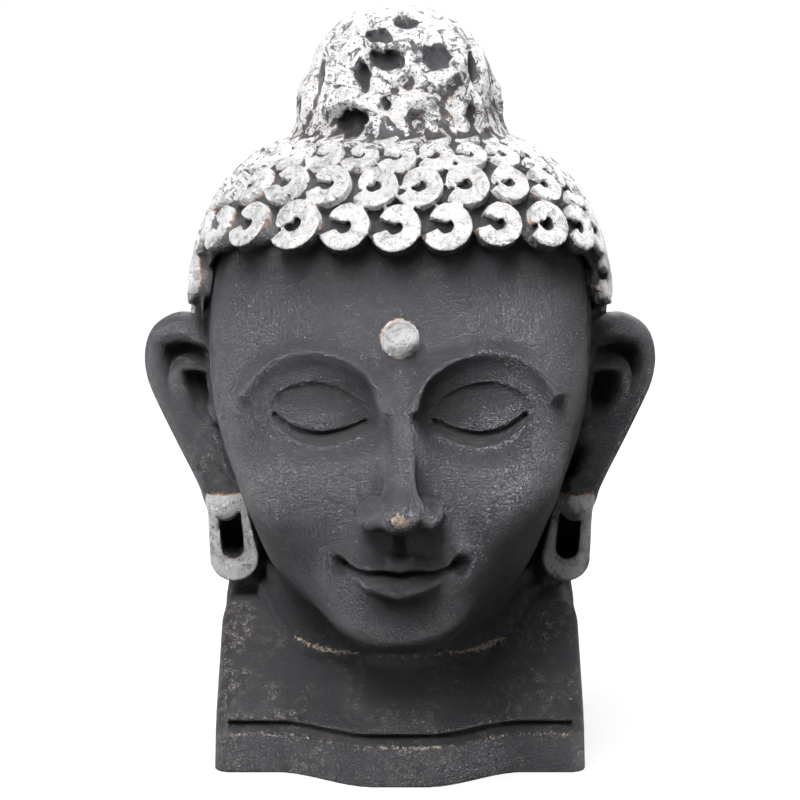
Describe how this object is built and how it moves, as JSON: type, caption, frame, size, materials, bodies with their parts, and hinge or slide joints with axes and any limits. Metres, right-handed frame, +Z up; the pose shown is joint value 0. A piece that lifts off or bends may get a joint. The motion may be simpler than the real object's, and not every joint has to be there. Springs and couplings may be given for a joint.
{
  "type": "terracotta buddha head",
  "caption": "Freestanding garden ornament: a calm head with snail curls, a round top knot and long looped ear lobes, on a chest block with a flat underside.",
  "frame": {"origin": "on the underside that it stands on, at the middle of the bounding box", "axes": "+Z up, the face looks along -Y, +X towards the figure's left ear"},
  "size_m": [0.28, 0.2452, 0.4019],
  "materials": {
    "black_paint": "grained satin paint over fired clay, worn to the clay on edges"
  },
  "bodies": {
    "root": {"cast_head": "black_paint"}
  },
  "joints": []
}
